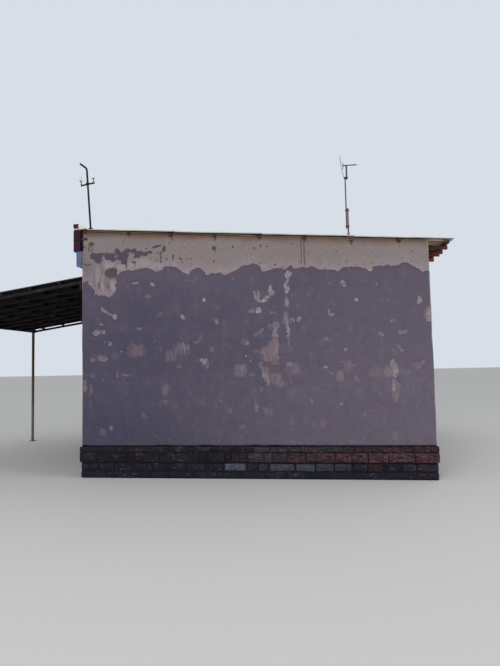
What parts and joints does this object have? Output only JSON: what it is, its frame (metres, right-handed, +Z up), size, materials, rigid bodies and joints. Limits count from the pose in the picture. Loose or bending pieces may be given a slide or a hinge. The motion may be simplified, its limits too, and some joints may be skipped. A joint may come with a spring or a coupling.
{
  "type": "adobe house",
  "caption": "Low adobe house with a brick plinth, patched mud render, single-slope corrugated roof, eave box, lean-to canopy on posts and roof masts.",
  "frame": {"origin": "at ground level in the middle of the front wall, in the plane of its outer face, on the underside of the plinth", "axes": "+X to the right along the front wall and down the roof slope, +Y into the depth of the house, +Z up"},
  "size_m": [8.8086, 6.087, 4.9926],
  "materials": {
    "render": "mud render in two coats, matt",
    "plinth": "fired brick and rubble stone, matt",
    "floor": "rammed earth floor, matt",
    "old_timber": "sawn, grey-brown, rough",
    "painted_timber": "blue-grey gloss paint, worn",
    "maroon_timber": "maroon paint, faded",
    "blue_board": "pale blue-grey paint, matt",
    "dark_timber": "smoke-darkened timber",
    "roof_sheet": "grey corrugated fibre-cement, matt",
    "canopy_sheet": "dark weathered corrugated fibre-cement",
    "rusty_steel": "steel tube, rusted paint",
    "grey_steel": "grey tube, dull",
    "aerial_metal": "dull aluminium tube",
    "pane": "clear window glass",
    "sill": "cement sill",
    "porcelain": "white glazed porcelain",
    "lashing": "faded pink cord wound round"
  },
  "bodies": {
    "root": {"plinth_front": "plinth", "plinth_right": "plinth", "plinth_back": "plinth", "plinth_left_near": "plinth", "plinth_left_far": "plinth", "floor": "floor", "wall_front": "render", "wall_right": "render", "wall_back": "render", "wall_left": "render", "lintels": "old_timber", "door_frame": "painted_timber", "door_leaf": "painted_timber", "window_frame_1": "painted_timber", "window_frame_2": "painted_timber", "window_glass_1": "pane", "window_glass_2": "pane", "window_sills": "sill", "plate_left": "old_timber", "plate_right": "old_timber", "rafters": "old_timber", "purlins": "old_timber", "roof_row_1": "roof_sheet", "roof_row_2": "roof_sheet", "roof_row_3": "roof_sheet", "roof_row_4": "roof_sheet", "eave_fascia": "maroon_timber", "eave_soffit": "maroon_timber", "eave_end_boards": "maroon_timber", "eave_cap": "maroon_timber", "frieze": "blue_board", "canopy_ledger": "dark_timber", "canopy_rafters": "dark_timber", "canopy_beam": "dark_timber", "canopy_purlins": "dark_timber", "canopy_row_1": "canopy_sheet", "canopy_row_2": "canopy_sheet", "canopy_post_near": "rusty_steel", "canopy_post_far": "rusty_steel", "service_mast": "rusty_steel", "service_bend": "rusty_steel", "service_crossarm": "rusty_steel", "insulator_left": "porcelain", "insulator_right": "porcelain", "service_clamp": "rusty_steel", "aerial_pole": "rusty_steel", "aerial_upper": "grey_steel", "aerial_clamps": "rusty_steel", "aerial_tube": "grey_steel", "aerial_boom": "aerial_metal", "aerial_bar": "aerial_metal", "aerial_rod": "aerial_metal", "aerial_lashing": "lashing"}
  },
  "joints": []
}
